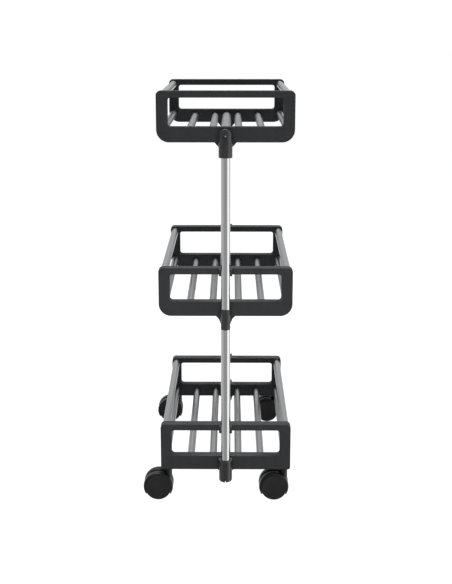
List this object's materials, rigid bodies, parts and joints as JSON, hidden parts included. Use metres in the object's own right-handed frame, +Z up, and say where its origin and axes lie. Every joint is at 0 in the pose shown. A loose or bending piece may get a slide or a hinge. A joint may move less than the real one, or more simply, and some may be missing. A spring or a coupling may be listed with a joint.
{
  "type": "wire shelf cart",
  "caption": "Slim three-tier trolley with moulded end panels, metal tube trays, an upright pole at each end and twin-wheel swivel casters.",
  "frame": {"origin": "on the floor, under the middle of the frame, between the two end poles", "axes": "+Z up, X across the cart, Y along it from pole to pole"},
  "size_m": [0.2843, 0.4202, 0.7879],
  "materials": {
    "panel_plastic": "fine matte charcoal",
    "connector_plastic": "satin charcoal",
    "rail_metal": "satin drawn",
    "pole_metal": "polished satin",
    "screw_steel": "zinc plated",
    "steel": "zinc plated",
    "caster_plastic": "satin black",
    "wheel_plastic": "matte black"
  },
  "bodies": {
    "cart_frame": {"front_panel_bottom": "panel_plastic", "rear_panel_bottom": "panel_plastic", "bottom_upper_rail_left": "rail_metal", "bottom_lower_rail_left": "rail_metal", "bottom_upper_rail_right": "rail_metal", "bottom_lower_rail_right": "rail_metal", "bottom_floor_rods": "rail_metal", "bottom_tie_tube": "rail_metal", "front_panel_middle": "panel_plastic", "rear_panel_middle": "panel_plastic", "middle_upper_rail_left": "rail_metal", "middle_lower_rail_left": "rail_metal", "middle_upper_rail_right": "rail_metal", "middle_lower_rail_right": "rail_metal", "middle_floor_rods": "rail_metal", "middle_tie_tube": "rail_metal", "front_panel_top": "panel_plastic", "rear_panel_top": "panel_plastic", "top_upper_rail_left": "rail_metal", "top_lower_rail_left": "rail_metal", "top_upper_rail_right": "rail_metal", "top_lower_rail_right": "rail_metal", "top_floor_rods": "rail_metal", "top_tie_tube": "rail_metal", "front_pole_lower": "pole_metal", "front_pole_upper": "pole_metal", "front_connector_top": "connector_plastic", "front_connector_middle": "connector_plastic", "front_connector_bottom": "connector_plastic", "rear_pole_lower": "pole_metal", "rear_pole_upper": "pole_metal", "rear_connector_top": "connector_plastic", "rear_connector_middle": "connector_plastic", "rear_connector_bottom": "connector_plastic", "joint_caps": "connector_plastic", "tie_inserts": "steel", "tie_screws": "screw_steel", "lug_screws": "screw_steel", "caster_stems": "steel", "stem_inserts": "steel"},
    "swivel_front_left": {"caster_front_left_housing": "caster_plastic", "caster_front_left_axle": "steel"},
    "wheel_front_left_outer": {"caster_front_left_wheel_outer": "wheel_plastic"},
    "wheel_front_left_inner": {"caster_front_left_wheel_inner": "wheel_plastic"},
    "swivel_front_right": {"caster_front_right_housing": "caster_plastic", "caster_front_right_axle": "steel"},
    "wheel_front_right_outer": {"caster_front_right_wheel_outer": "wheel_plastic"},
    "wheel_front_right_inner": {"caster_front_right_wheel_inner": "wheel_plastic"},
    "swivel_rear_left": {"caster_rear_left_housing": "caster_plastic", "caster_rear_left_axle": "steel"},
    "wheel_rear_left_outer": {"caster_rear_left_wheel_outer": "wheel_plastic"},
    "wheel_rear_left_inner": {"caster_rear_left_wheel_inner": "wheel_plastic"},
    "swivel_rear_right": {"caster_rear_right_housing": "caster_plastic", "caster_rear_right_axle": "steel"},
    "wheel_rear_right_outer": {"caster_rear_right_wheel_outer": "wheel_plastic"},
    "wheel_rear_right_inner": {"caster_rear_right_wheel_inner": "wheel_plastic"}
  },
  "joints": [
    {"name": "front_left_swivel", "type": "hinge", "parent": "cart_frame", "child": "swivel_front_left", "pos_m": [-0.112, -0.1775, 0.05], "axis": [0, 0, 1], "continuous": true},
    {"name": "front_left_outer_wheel_spin", "type": "hinge", "parent": "swivel_front_left", "child": "wheel_front_left_outer", "pos_m": [-0.1305, -0.1775, 0.025], "axis": [0, 1, 0], "continuous": true},
    {"name": "front_left_inner_wheel_spin", "type": "hinge", "parent": "swivel_front_left", "child": "wheel_front_left_inner", "pos_m": [-0.1305, -0.1775, 0.025], "axis": [0, 1, 0], "continuous": true},
    {"name": "front_right_swivel", "type": "hinge", "parent": "cart_frame", "child": "swivel_front_right", "pos_m": [0.112, -0.1775, 0.05], "axis": [0, 0, 1], "continuous": true},
    {"name": "front_right_outer_wheel_spin", "type": "hinge", "parent": "swivel_front_right", "child": "wheel_front_right_outer", "pos_m": [0.0935, -0.1775, 0.025], "axis": [0, 1, 0], "continuous": true},
    {"name": "front_right_inner_wheel_spin", "type": "hinge", "parent": "swivel_front_right", "child": "wheel_front_right_inner", "pos_m": [0.0935, -0.1775, 0.025], "axis": [0, 1, 0], "continuous": true},
    {"name": "rear_left_swivel", "type": "hinge", "parent": "cart_frame", "child": "swivel_rear_left", "pos_m": [-0.112, 0.1775, 0.05], "axis": [0, 0, 1], "continuous": true},
    {"name": "rear_left_outer_wheel_spin", "type": "hinge", "parent": "swivel_rear_left", "child": "wheel_rear_left_outer", "pos_m": [-0.1305, 0.1775, 0.025], "axis": [0, 1, 0], "continuous": true},
    {"name": "rear_left_inner_wheel_spin", "type": "hinge", "parent": "swivel_rear_left", "child": "wheel_rear_left_inner", "pos_m": [-0.1305, 0.1775, 0.025], "axis": [0, 1, 0], "continuous": true},
    {"name": "rear_right_swivel", "type": "hinge", "parent": "cart_frame", "child": "swivel_rear_right", "pos_m": [0.112, 0.1775, 0.05], "axis": [0, 0, 1], "continuous": true},
    {"name": "rear_right_outer_wheel_spin", "type": "hinge", "parent": "swivel_rear_right", "child": "wheel_rear_right_outer", "pos_m": [0.0935, 0.1775, 0.025], "axis": [0, 1, 0], "continuous": true},
    {"name": "rear_right_inner_wheel_spin", "type": "hinge", "parent": "swivel_rear_right", "child": "wheel_rear_right_inner", "pos_m": [0.0935, 0.1775, 0.025], "axis": [0, 1, 0], "continuous": true}
  ]
}
